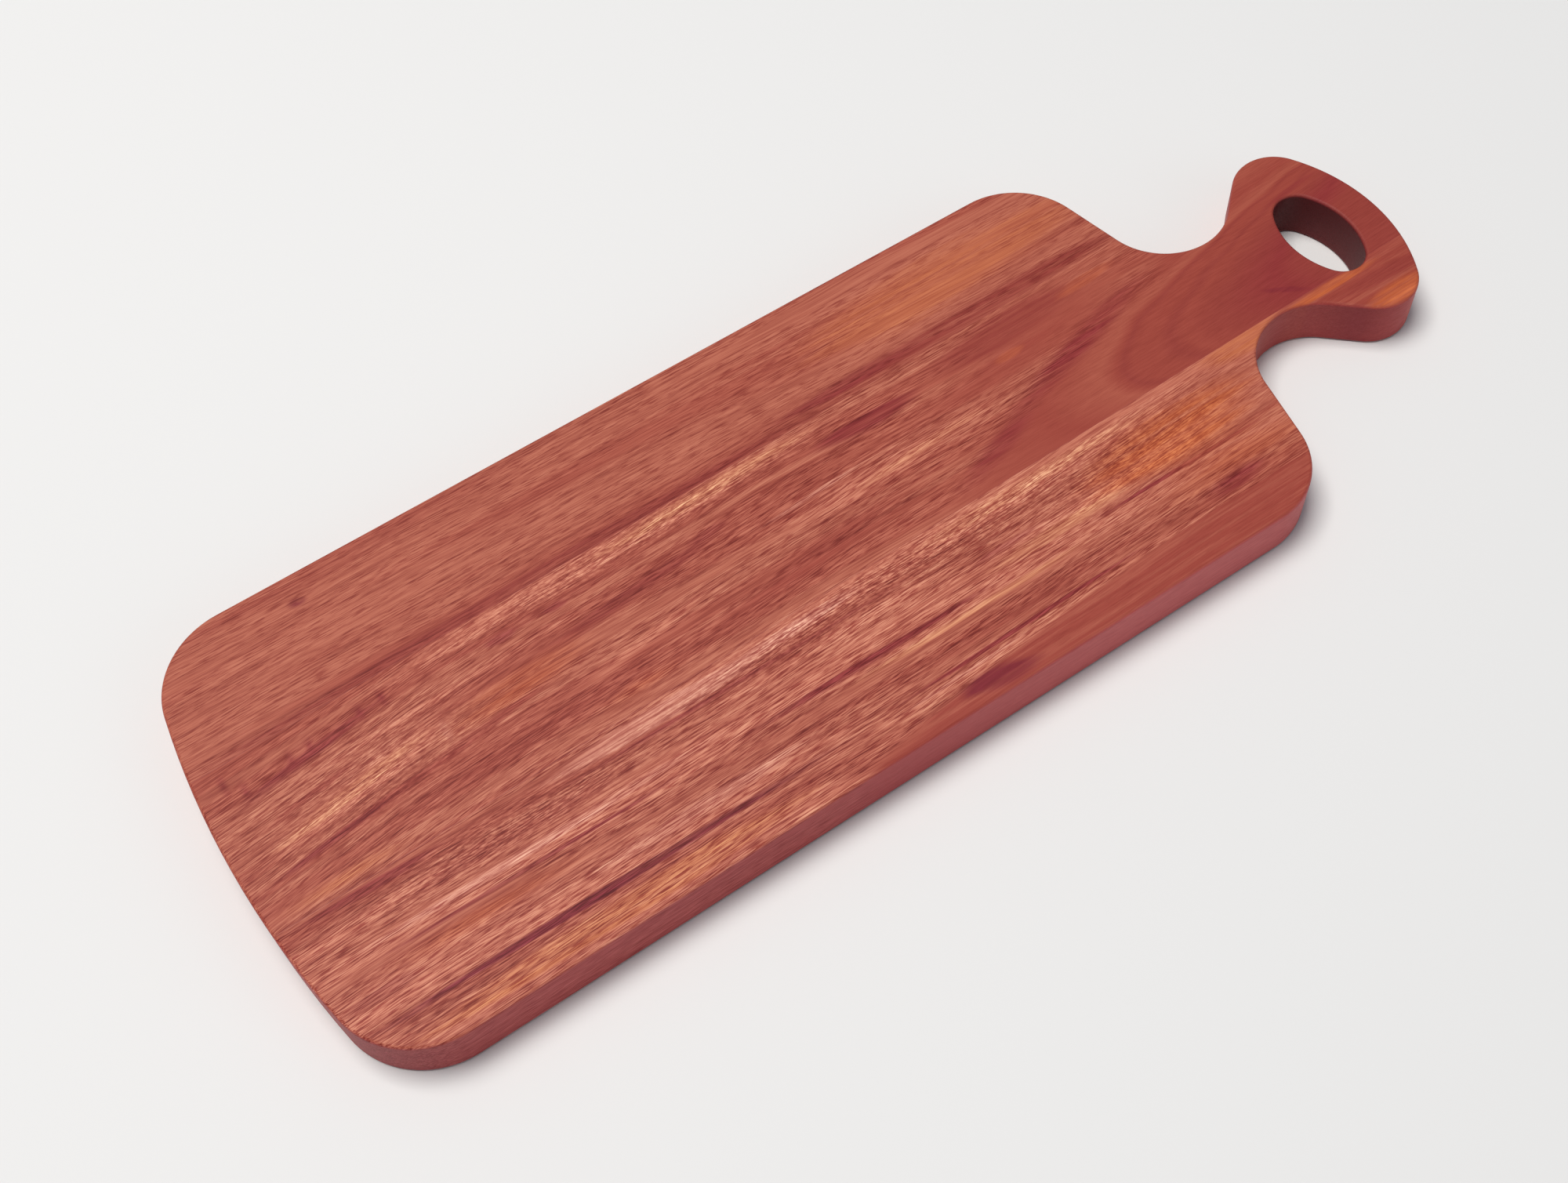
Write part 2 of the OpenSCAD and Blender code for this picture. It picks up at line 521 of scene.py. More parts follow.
    def ramp(self, value: Field, stops: tuple[tuple[float, Colour], ...]) -> Socket:
        """A colour for each value, blended between stops.

        Args:
            value: The value, from 0 to 1.
            stops: Pairs of a value and its colour, in order.

        Returns:
            The colour.
        """
        made = self.node("ValToRGB", {"Fac": value})
        elements = made.color_ramp.elements
        for index, (at, colour) in enumerate(stops):
            element = elements[index] if index < self.READY_STOPS else elements.new(at)
            element.position = at
            element.color = (*colour, 1.0)
        return made.outputs["Color"]

    def finish(self, colour: Socket, roughness: Field, height: Socket, depth: float) -> bpy.types.Material:
        """Feed the shader.

        Args:
            colour: The surface's colour.
            roughness: Its roughness.
            height: Its relief, from 0 to 1.
            depth: How deep the relief is, in metres.

        Returns:
            The finished material.
        """
        relief = self.node("Bump", {"Height": height, "Strength": 1.0, "Distance": depth})
        self.feed(self.shader.inputs["Base Color"], colour)
        self.feed(self.shader.inputs["Roughness"], roughness)
        self.feed(self.shader.inputs["Normal"], relief.outputs["Normal"])
        return self.material


@dataclass(frozen=True)
class Patch:
    """A long soft zone of the wood's face. Sizes are in millimetres."""

    x: float
    y: float
    half_length: float
    half_width: float
    turn: float = 0.0
    core: float = 0.45
    fray: float = 0.4


@dataclass(frozen=True)
class Streak:
    """A zone of the wood that has another colour."""

    patch: Patch
    tone: Tone
    strength: float


@dataclass(frozen=True)
class Strokes:
    """One scale of marks along the grain, some darker and some lighter. Sizes are in millimetres."""

    length: float
    width: float
    dark: float
    light: float = 0.0
    wave: float = 0.0
    tilt: float = 0.0
    edge: float = 0.16
    patchy: bool = False
    detail: float = 1.0
    within: tuple[Patch, ...] = ()


@dataclass(frozen=True)
class WoodFinish:
    """Oiled hardwood with its fibres along X, with painted shade and light on its walls. Sizes are in
    millimetres.
    """

    name: str
    seed: float
    lean: float
    bands: tuple[tuple[float, Tone], ...]
    strokes: tuple[Strokes, ...]
    streaks: tuple[Streak, ...]
    calm: tuple[Patch, ...] = ()
    # Painted shade and light, laid on the walls only, patch by patch.
    painted_wall_shading: tuple[Streak, ...] = ()
    band_size: Triple = (260.0, 7.0, 7.0)
    wander: float = 6.0
    rise: float = 0.0
    rise_span: tuple[float, float] = (-240.0, -140.0)
    calm_share: float = 0.2
    # Painted shade: how far the walls are blended towards the shaded rose tone.
    wall_shade_share: float = 0.5

    TOP: ClassVar[float] = 19.0
    THROUGH: ClassVar[float] = 1000.0
    MIDDLE: ClassVar[float] = 0.5
    CONTRAST: ClassVar[tuple[float, float]] = (0.3, 0.7)
    RELIEF: ClassVar[float] = 0.00005
    SPECULAR: ClassVar[float] = 0.2
    SHADE: ClassVar[Colour] = (0.58, 0.31, 0.33)
    GLEAM: ClassVar[Colour] = (1.28, 1.60, 1.62)
    WALL: ClassVar[float] = 1.2
    WALL_CALM: ClassVar[float] = 0.6
    SMOOTH: ClassVar[float] = 0.48
    ROUGH: ClassVar[float] = 0.62
    WANDER_SIZE: ClassVar[Triple] = (120.0, 30.0, 30.0)
    WAVE_SIZE: ClassVar[Triple] = (14.0, 5.0, 5.0)
    WAVE_DETAIL: ClassVar[float] = 1.0
    FRAY_SIZE: ClassVar[Triple] = (45.0, 3.0, 3.0)
    FRAY_REACH: ClassVar[float] = 1.2
    BREAK_SIZE: ClassVar[Triple] = (80.0, 1.8, 1.8)
    BREAK_RANGE: ClassVar[tuple[float, float]] = (0.6, 1.3)
    DRIFT_LENGTHS: ClassVar[float] = 20.0
    DRIFT_WIDTH: ClassVar[float] = 5.0
    DRIFT_EDGE: ClassVar[tuple[float, float]] = (0.30, 0.50)

    def grain(self, sheet: Sheet) -> Socket:
        """Coordinates that lean with the growth rings, rise at the blunt end and wander along the board.

        Args:
            sheet: The material's nodes.

        Returns:
            The coordinates, in metres.
        """
        x, y, z = sheet.split(sheet.place)
        depth = sheet.sum(z, -self.TOP * MM)
        leaning = sheet.sum(y, sheet.product(depth, self.lean))
        start, end = self.rise_span
        risen = sheet.product(sheet.ease(x, start * MM, end * MM), -self.rise * MM)
        upright = sheet.join(x, sheet.sum(leaning, risen), z)
        return self.waved(sheet, upright, self.WANDER_SIZE, self.wander)

    def pattern(
        self,
        sheet: Sheet,
        place: Socket,
        size: Triple,
        detail: float = 2.0,
        tilt: float = 0.0,
    ) -> Socket:
        """Noise drawn out along the grain.

        Args:
            sheet: The material's nodes.
            place: The grain's coordinates.
            size: A feature's length, width and depth.
            detail: How many finer scales are laid over it.
            tilt: How far it is turned out of the grain, in degrees.

        Returns:
            The noise, from 0 to 1.
        """
        start = self.seed * (1.0 + sum(size))
        return sheet.cloud(sheet.stretch(place, size, (start, start, 0.0), tilt), detail)

    def waved(self, sheet: Sheet, place: Socket, size: Triple, reach: float) -> Socket:
        """The grain's coordinates with a wave across it.

        Args:
            sheet: The material's nodes.
            place: The grain's coordinates.
            size: A wave's length, width and depth.
            reach: How far the waves reach from side to side.

        Returns:
            The waved coordinates.
        """
        wave = self.pattern(sheet, place, size, self.WAVE_DETAIL)
        return sheet.shift(place, sheet.join(0.0, sheet.swing(wave, reach * MM), 0.0))

    def cover(self, sheet: Sheet, patch: Patch, fray: Socket) -> Socket:
        """How much of a patch lies at each place.

        Args:
            sheet: The material's nodes.
            patch: The patch.
            fray: How its edge strays, as a vector in patch sizes.

        Returns:
            A value from 0 outside to 1 inside.
        """
        size = (patch.half_length, patch.half_width, self.THROUGH)
        local = sheet.stretch(sheet.place, size, (patch.x, patch.y, 0.0), patch.turn)
        scaled = {0: fray, "Scale": patch.fray}
        strayed = sheet.node("VectorMath", scaled, operation="SCALE").outputs["Vector"]
        reached = {0: sheet.shift(local, strayed)}
        away = sheet.node("VectorMath", reached, operation="LENGTH").outputs["Value"]
        return sheet.ease(away, 1.0, patch.core)

    def fray(self, sheet: Sheet, grain: Socket) -> Socket:
        """How the edges of patches stray along the grain."""
        stray = sheet.swing(self.pattern(sheet, grain, self.FRAY_SIZE), self.FRAY_REACH)
        return sheet.join(stray, stray, 0.0)

    def union(self, sheet: Sheet, patches: tuple[Patch, ...], fray: Socket) -> Field:
        """How much of any of some patches lies at each place.

        Args:
            sheet: The material's nodes.
            patches: The patches.
            fray: How their edges stray.

        Returns:
            A value from 0 outside to 1 inside.
        """
        share = 0.0
        for patch in patches:
            share = sheet.larger(share, self.cover(sheet, patch, fray))
        return share

    def walls(self, sheet: Sheet) -> Socket:
        """Where the upright walls are: 0 on both faces and 1 between them."""
        _, _, z = sheet.split(sheet.place)
        below = sheet.ease(z, self.TOP * MM, (self.TOP - self.WALL) * MM)
        return sheet.product(below, sheet.ease(z, 0.0, self.WALL * MM))

    def ground(self, sheet: Sheet, grain: Socket) -> Socket:
        """The broad bands of the wood.

        Args:
            sheet: The material's nodes.
            grain: The grain's coordinates.

        Returns:
            The colour.
        """
        value = sheet.ease(self.pattern(sheet, grain, self.band_size), *self.CONTRAST)
        return sheet.ramp(value, tuple((at, tone.value) for at, tone in self.bands))

    def lay_streaks(self, sheet: Sheet, grain: Socket, colour: Socket, fray: Socket) -> Socket:
        """Lay each streak over the wood, broken up along the grain's lines.

        Args:
            sheet: The material's nodes.
            grain: The grain's coordinates.
            colour: The colour below.
            fray: How the edges of the streaks stray.

        Returns:
            The colour with its streaks.
        """
        lines = sheet.ease(self.pattern(sheet, grain, self.BREAK_SIZE), *self.CONTRAST)
        broken = sheet.spread(lines, *self.BREAK_RANGE)
        for streak in self.streaks:
            share = sheet.product(self.cover(sheet, streak.patch, fray), streak.strength)
            colour = sheet.blend(colour, streak.tone.value, sheet.product(share, broken))
        return colour

    def mark(
        self,
        sheet: Sheet,
        grain: Socket,
        colour: Socket,
        where: Field,
        strokes: Strokes,
    ) -> tuple[Socket, Socket]:
        """Draw one scale of marks over the wood.

        Args:
            sheet: The material's nodes.
            grain: The grain's coordinates.
            colour: The colour below.
            where: How strongly marks show at each place.
            strokes: The marks.

        Returns:
            The colour with its marks, and the pattern that they follow.
        """
        place = self.waved(sheet, grain, self.WAVE_SIZE, strokes.wave) if strokes.wave else grain
        size = (strokes.length, strokes.width, strokes.width)
        marks = self.pattern(sheet, place, size, strokes.detail, strokes.tilt)
        if strokes.within:
            where = sheet.product(where, self.union(sheet, strokes.within, self.fray(sheet, grain)))
        if strokes.patchy:
            drift = (self.DRIFT_LENGTHS * strokes.length, self.DRIFT_WIDTH, self.DRIFT_WIDTH)
            where = sheet.product(where, sheet.ease(self.pattern(sheet, grain, drift), *self.DRIFT_EDGE))
        for factor, strength, way in ((self.SHADE, strokes.dark, -1), (self.GLEAM, strokes.light, 1)):
            shown = sheet.ease(marks, self.MIDDLE, self.MIDDLE + way * strokes.edge)
            share = sheet.product(sheet.product(shown, strength), where)
            colour = sheet.blend(colour, factor, share, "MULTIPLY")
        return colour, marks

    def dress(self) -> bpy.types.Material:
        """Make the material.

        Returns:
            The finished material.
        """
        sheet = Sheet(self.name)
        grain = self.grain(sheet)
        fray = self.fray(sheet, grain)
        walls = self.walls(sheet)
        quiet = sheet.larger(self.union(sheet, self.calm, fray), sheet.product(walls, self.WALL_CALM))
        life = sheet.spread(quiet, 1.0, self.calm_share)
        colour = self.lay_streaks(sheet, grain, self.ground(sheet, grain), fray)
        # Painted shade: the walls are blended towards a darker, purpler rose tone that stands for their
        # shade.
        colour = sheet.blend(colour, Tone.WALL_SHADE_ROSE.value, sheet.product(walls, self.wall_shade_share))
        # Painted shade and light: patches of other tones laid on the walls only.
        for streak in self.painted_wall_shading:
            strength = sheet.product(walls, streak.strength)
            share = sheet.product(self.cover(sheet, streak.patch, fray), strength)
            colour = sheet.blend(colour, streak.tone.value, share)
        for strokes in self.strokes:
            colour, marks = self.mark(sheet, grain, colour, life, strokes)
        sheet.shader.inputs["Specular IOR Level"].default_value = self.SPECULAR
        return sheet.finish(colour, sheet.spread(marks, self.ROUGH, self.SMOOTH), marks, self.RELIEF)


@dataclass(frozen=True)
class RingedFinish(WoodFinish):
    """Wood that runs from ribbon grain into smooth nested rings towards the handle."""

    ring_axis: float = -10.0
    ring_bow: float = 13.0
    ring_span: tuple[float, float] = (0.0, 240.0)
    rings: tuple[tuple[float, Tone], ...] = ()

    RING_WAVE_SIZE: ClassVar[Triple] = (30.0, 12.0, 12.0)
    RING_WAVE: ClassVar[float] = 6.0

    def ground(self, sheet: Sheet, grain: Socket) -> Socket:
        """The broad bands, with rings bowed like a parabola where the wood is calm.

        Args:
            sheet: The material's nodes.
            grain: The grain's coordinates.

        Returns:
            The colour.
        """
        waved = self.waved(sheet, sheet.place, self.RING_WAVE_SIZE, self.RING_WAVE)
        x, y, _ = sheet.split(waved)
        out = sheet.sum(y, -self.ring_axis * MM)
        bowed = sheet.product(sheet.product(out, out), -1.0 / (self.ring_bow * MM))
        low, high = (part * MM for part in self.ring_span)
        inputs = {"Value": sheet.sum(x, bowed), "From Min": low, "From Max": high}
        along = sheet.node("MapRange", inputs).outputs["Result"]
        ringed = sheet.ramp(along, tuple((at, tone.value) for at, tone in self.rings))
        colour = super().ground(sheet, grain)
        fray = self.fray(sheet, grain)
        for patch in self.calm:
            colour = sheet.blend(colour, ringed, self.cover(sheet, patch, fray))
        return colour


@dataclass(frozen=True)
class GlueFinish:
    """Dried glue, darkened by oil."""

    name: str
    speck_size: Triple = (3.0, 3.0, 3.0)
    speck_detail: float = 3.0
    dark_below: float = 0.3
    light_above: float = 0.7
    smooth: float = 0.42
    rough: float = 0.58
    relief: float = 0.00002

    def dress(self) -> bpy.types.Material:
        """Make the material.

        Returns:
            The finished material.
        """
        sheet = Sheet(self.name)
        specks = sheet.cloud(sheet.stretch(sheet.place, self.speck_size), self.speck_detail)
        stops = ((self.dark_below, Tone.MAROON.value), (self.light_above, Tone.RUST.value))
        roughness = sheet.spread(specks, self.smooth, self.rough)
        return sheet.finish(sheet.ramp(specks, stops), roughness, specks, self.relief)


@dataclass(frozen=True)
class Piece:
    """One glued piece of the board, sawn out of the blank."""

    node: str
    slot: Slot
    cuts: tuple[Cut, ...]

    SHARP_DEGREES: ClassVar[float] = 40.0

    def build(self, blank: bmesh.types.BMesh) -> bpy.types.Object:
        """Saw the piece out of a copy of the blank.

        Args:
            blank: The whole board.

        Returns:
            The piece's object.
        """
        wood = blank.copy()
        for cut in self.cuts:
            cut.make(wood)
        bmesh.ops.recalc_face_normals(wood, faces=wood.faces[:])
        for face in wood.faces:
            face.smooth = True
        mesh = bpy.data.meshes.new(f"{self.node}_wood")
        wood.to_mesh(mesh)
        wood.free()
        mesh.set_sharp_from_angle(angle=math.radians(self.SHARP_DEGREES))
        made = bpy.data.objects.new(f"{self.node}_dressed", mesh)
        bpy.context.scene.collection.objects.link(made)
        even = made.modifiers.new("even_normals", "WEIGHTED_NORMAL")
        even.keep_sharp = True
        return made

    def add(self, blank: bmesh.types.BMesh, material: bpy.types.Material) -> None:
        """Build the piece, dress it and seat it in the frame.

        Args:
            blank: The whole board.
            material: The piece's finish.
        """
        made = self.build(blank)
        made.data.materials.append(material)
        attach(made, "root")
        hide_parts(self.node)
        LOG.info("%s: %d faces", made.name, len(made.data.polygons))


@dataclass(frozen=True)
class ServingBoard:
    """The three staves and the glue between them."""

    blank: Blank = Blank()
    far_joint_gap: float = 0.2 * MM
    far_skew_degrees: float = 1.05
    near_strip: float = 1.45 * MM
    near_skew_degrees: float = 1.2
    glue_thickness: float = 0.1 * MM

    def far_joint(self) -> GlueJoint:
        """The joint that passes just outside the far ear."""
        ear = self.blank.ear_arc
        return self.joint_past(ear.x, ear.y, ear.radius + self.far_joint_gap, self.far_skew_degrees)

    def near_joint(self) -> GlueJoint:
        """The joint that leaves a narrow strip of the near stave at the neck."""
        neck = self.blank.neck_arc
        return self.joint_past(neck.x, -neck.y, neck.radius + self.near_strip, self.near_skew_degrees)

    @staticmethod
    def joint_past(x: float, y: float, distance: float, skew: float) -> GlueJoint:
        """A joint that passes on the far side of a point.

        Args:
            x: The point's place along the board.
            y: The point's place across the board.
            distance: How far from the point the joint passes.
            skew: The joint's angle to the board's length, in degrees.

        Returns:
            The joint.
        """
        turn = math.radians(skew)
        return GlueJoint(y + distance / math.cos(turn) - x * math.tan(turn), skew)

    def pieces(self) -> tuple[Piece, ...]:
        """Every piece with its saw cuts.

        Returns:
            The pieces.
        """
        half = self.glue_thickness / 2
        far, near = self.far_joint(), self.near_joint()
        hole = Vector((self.blank.hole_x, 0.0, 0.0))
        to_tip = Vector((1.0, 0.0, 0.0))
        centre = (Cut(*far.plane(-half), Side.NEAR), Cut(*near.plane(half), Side.FAR))
        far_film = (Cut(*far.plane(-half), Side.FAR), Cut(*far.plane(half), Side.NEAR))
        near_film = (Cut(*near.plane(-half), Side.FAR), Cut(*near.plane(half), Side.NEAR))
        return (
            Piece("far_stave", Slot.FAR_WOOD, (Cut(*far.plane(half), Side.FAR),)),
            Piece("centre_stave", Slot.CENTRE_WOOD, centre),
            Piece("near_stave", Slot.NEAR_WOOD, (Cut(*near.plane(-half), Side.NEAR),)),
            Piece("far_glue_line", Slot.GLUE, far_film),
            Piece("near_glue_line", Slot.GLUE, (*near_film, Cut(hole, to_tip, Side.NEAR))),
            Piece("tip_glue_line", Slot.GLUE, (*near_film, Cut(hole, to_tip, Side.FAR))),
        )

    def build(self, finishes: dict[Slot, bpy.types.Material]) -> None:
        """Make every piece of the board.

        Args:
            finishes: The material of each slot.
        """
        blank = self.blank.build()
        for piece in self.pieces():
            piece.add(blank, finishes[piece.slot])
        blank.free()


# The hand hole's wall, where painted shade is laid.
HAND_HOLE = Patch(200.0, 0.0, 15.0, 23.0, core=0.9, fray=0.0)
SMOOTH_CORNER = Patch(60.0, -82.0, 130.0, 12.5, 2.5, core=0.85, fray=0.3)
NEAR_EAR = Patch(200.0, -30.0, 45.0, 30.0, core=0.8, fray=0.0)
RIPPLE = Patch(95.0, -36.0, 50.0, 16.0, 1.0)
BURL = Patch(106.0, -62.5, 20.0, 6.5, 1.0, core=0.1)
CENTRE_SPECKS = (
    Patch(-72.0, 31.0, 115.0, 8.5, 1.0, core=0.2),
    Patch(-175.0, 3.0, 65.0, 24.0, 5.0, core=0.0),
)
NEAR_SPECKS = (
    Patch(-5.0, -29.5, 150.0, 12.0, 0.7, core=0.1),
    Patch(-150.0, -36.0, 75.0, 11.0, core=0.1),
    Patch(90.0, -38.0, 75.0, 20.0, 1.0, core=0.1),
)


def blunt_end_bars() -> tuple[Streak, ...]:
    """The short dark bars across the grain at the blunt end."""
    places = (
        (-215.0, 26.0),
        (-210.0, 21.0),
        (-194.0, 22.0),
        (-187.0, 23.0),
        (-169.0, 25.5),
        (-161.0, 26.0),
    )
    half_length, half_width = 2.4, 6.0
    bars = (Patch(x, y, half_length, half_width, core=-0.2, fray=0.3) for x, y in places)
    return tuple(Streak(bar, Tone.MAROON, 0.8) for bar in bars)


def far_wood() -> WoodFinish:
    """The far stave: quiet straight grain with a dark edge along its joint."""
    return WoodFinish(
        name="far_wood",
        seed=11.0,
        lean=0.5,
        bands=((0.0, Tone.CHESTNUT), (0.3, Tone.COPPER), (1.0, Tone.COPPER)),
        strokes=(
            Strokes(60.0, 1.3, dark=0.35, light=0.2),
            Strokes(22.0, 0.45, dark=0.45, light=0.25),
            Strokes(
                7.0, 0.38,
                dark=0.8, light=0.2, edge=0.10, patchy=True, detail=3.0,
            ),
        ),
        streaks=(
            Streak(Patch(80.0, 62.0, 75.0, 14.0, 1.0), Tone.GINGER, 0.65),
            Streak(Patch(-145.0, 80.0, 80.0, 5.0), Tone.RUST, 0.5),
            Streak(Patch(-70.0, 39.5, 170.0, 7.0, 0.9, core=0.2), Tone.CHESTNUT, 0.8),
            Streak(Patch(-100.0, 36.8, 150.0, 3.2, 0.9), Tone.BRICK, 1.0),
            Streak(Patch(80.0, 41.5, 80.0, 6.0, 1.0), Tone.BRICK, 0.95),
            Streak(Patch(28.0, 42.5, 38.0, 3.0, 1.0), Tone.MAROON, 0.7),
            Streak(Patch(-167.0, 72.5, 4.6, 2.4, -8.0, core=0.2), Tone.PLUM, 0.85),
            Streak(Patch(-166.0, 72.7, 1.8, 1.0, core=0.0), Tone.COPPER, 0.6),
        ),
        calm=(Patch(95.0, 64.0, 85.0, 26.0, core=-0.6),),
    )


def centre_wood() -> RingedFinish:
    """The centre stave: ribbon grain that runs into dark smooth rings at the handle."""
    return RingedFinish(
        name="centre_wood",
        seed=37.0,
        lean=-0.4,
        rise=10.0,
        rise_span=(-270.0, -110.0),
        bands=((0.0, Tone.CHESTNUT), (0.4, Tone.CHESTNUT), (0.7, Tone.COPPER), (1.0, Tone.COPPER)),
        strokes=(
            Strokes(45.0, 1.3, dark=0.35, light=0.3),
            Strokes(7.0, 2.0, dark=0.15, light=0.25, wave=1.0, patchy=True),
            Strokes(16.0, 0.45, dark=0.6, light=0.45, wave=0.4, tilt=1.0),
            Strokes(
                2.2, 0.45,
                dark=0.6, light=0.65, wave=0.5, edge=0.10, detail=3.0, within=CENTRE_SPECKS,
            ),
            Strokes(
                7.0, 0.38,
                dark=0.9, light=0.4, wave=0.3, tilt=3.0, edge=0.08, patchy=True, detail=3.0,
            ),
        ),
        streaks=(
            Streak(Patch(-72.0, 31.6, 100.0, 4.6, 1.0, core=0.6), Tone.HONEY, 1.0),
            Streak(Patch(-38.0, 32.6, 52.0, 3.2, 1.0), Tone.STRAW, 0.75),
            Streak(Patch(-190.0, 20.5, 32.0, 2.6, 9.0), Tone.MAROON, 0.7),
            *blunt_end_bars(),
            Streak(Patch(-100.0, 24.0, 50.0, 2.2, -1.0), Tone.RUST, 0.8),
            Streak(Patch(-120.0, 23.0, 8.0, 2.4), Tone.MAROON, 0.7),
            Streak(Patch(-100.0, 23.0, 6.0, 2.0), Tone.MAROON, 0.7),
            Streak(Patch(22.0, 25.0, 26.0, 4.2, -1.0), Tone.MAROON, 1.0),
            Streak(Patch(-150.0, 15.5, 65.0, 1.4, 2.0), Tone.HONEY, 0.8),
            Streak(Patch(-195.0, 8.0, 22.0, 2.0, 9.0), Tone.RUST, 0.7),
            Streak(Patch(-78.0, 13.2, 46.0, 3.4, 5.4), Tone.BRICK, 0.85),
            Streak(Patch(-122.0, 5.0, 34.0, 7.5, 3.0, core=0.0), Tone.AMBER, 0.75),
            Streak(Patch(-181.0, 1.5, 40.0, 5.0, 9.2), Tone.HONEY, 1.0),
            Streak(Patch(-184.0, 2.0, 34.0, 3.0, 9.2), Tone.STRAW, 0.6),
            Streak(Patch(-150.0, 4.0, 2.5, 5.0, core=0.0), Tone.BLUSH, 0.4),
            Streak(Patch(-158.0, -4.3, 62.0, 2.4, 6.7), Tone.RUST, 0.9),
            Streak(Patch(-195.0, -9.0, 26.0, 1.8, 7.0), Tone.MAROON, 0.7),
            Streak(Patch(-130.0, -13.0, 70.0, 6.0, 3.0, core=0.1), Tone.RUST, 0.5),
            Streak(Patch(-134.0, -19.5, 22.0, 3.4, 15.0, core=-0.2), Tone.HONEY, 0.7),
            Streak(Patch(-80.0, -3.5, 32.0, 2.2, 9.0), Tone.HONEY, 0.9),
            Streak(Patch(-198.0, -22.0, 28.0, 4.0, core=0.0), Tone.GINGER, 0.6),
            Streak(Patch(-92.0, -17.5, 20.0, 4.5, 4.0, core=0.0), Tone.AMBER, 0.4),
            Streak(Patch(-45.0, 18.5, 10.0, 2.2, 3.0), Tone.MAROON, 0.6),
            Streak(Patch(18.0, 5.5, 54.0, 5.2, 2.0), Tone.HONEY, 0.9),
            Streak(Patch(30.0, 5.5, 34.0, 2.4, 3.0), Tone.STRAW, 0.4),
            Streak(Patch(-8.0, 11.2, 26.0, 1.0, 3.0), Tone.BLUSH, 0.5),
            Streak(Patch(-24.0, -10.0, 58.0, 6.5, 6.0, core=0.2), Tone.RUST, 0.7),
            Streak(Patch(85.0, 30.0, 44.0, 8.0, 2.0), Tone.BRICK, 1.0),
            Streak(Patch(78.0, 19.0, 56.0, 7.0, 8.0, core=0.1), Tone.RUST, 0.7),
            Streak(Patch(78.0, 20.0, 8.0, 2.5, 4.0), Tone.AMBER, 0.4),
            Streak(Patch(120.0, 31.5, 16.0, 3.0, 4.0), Tone.AMBER, 0.5),
            Streak(Patch(52.0, -9.0, 26.0, 5.5, 18.0, core=0.2, fray=0.2), Tone.MAROON, 0.75),
            Streak(Patch(98.0, 9.0, 50.0, 6.0, 17.0, core=0.2, fray=0.2), Tone.MAROON, 0.95),
            Streak(Patch(173.0, -13.0, 11.0, 1.6, -31.0), Tone.PLUM, 0.7),
            Streak(Patch(206.0, 21.5, 16.0, 1.5, 6.0), Tone.MAROON, 0.6),
        ),
        calm=(
            Patch(108.0, -26.0, 150.0, 42.0, 15.7, core=0.7, fray=0.2),
            Patch(195.0, 0.0, 70.0, 80.0, core=0.6, fray=0.2),
            Patch(97.0, 25.0, 72.0, 21.0, 6.0, core=0.2),
        ),
        # Painted shade: the hand hole's wall darkened as if in shade.
        painted_wall_shading=(Streak(HAND_HOLE, Tone.HOLE_SHADE, 0.9),),
        rings=(
            (0.00, Tone.CHESTNUT),
            (0.30, Tone.RUST),
            (0.40, Tone.CHESTNUT),
            (0.425, Tone.RUST),
            (0.437, Tone.BRICK),
            (0.455, Tone.RUST),
            (0.50, Tone.RUST),
            (0.525, Tone.BRICK),
            (0.55, Tone.RUST),
            (0.62, Tone.BRICK),
            (0.72, Tone.MAROON),
            (0.80, Tone.BRICK),
            (1.00, Tone.BRICK),
        ),
    )


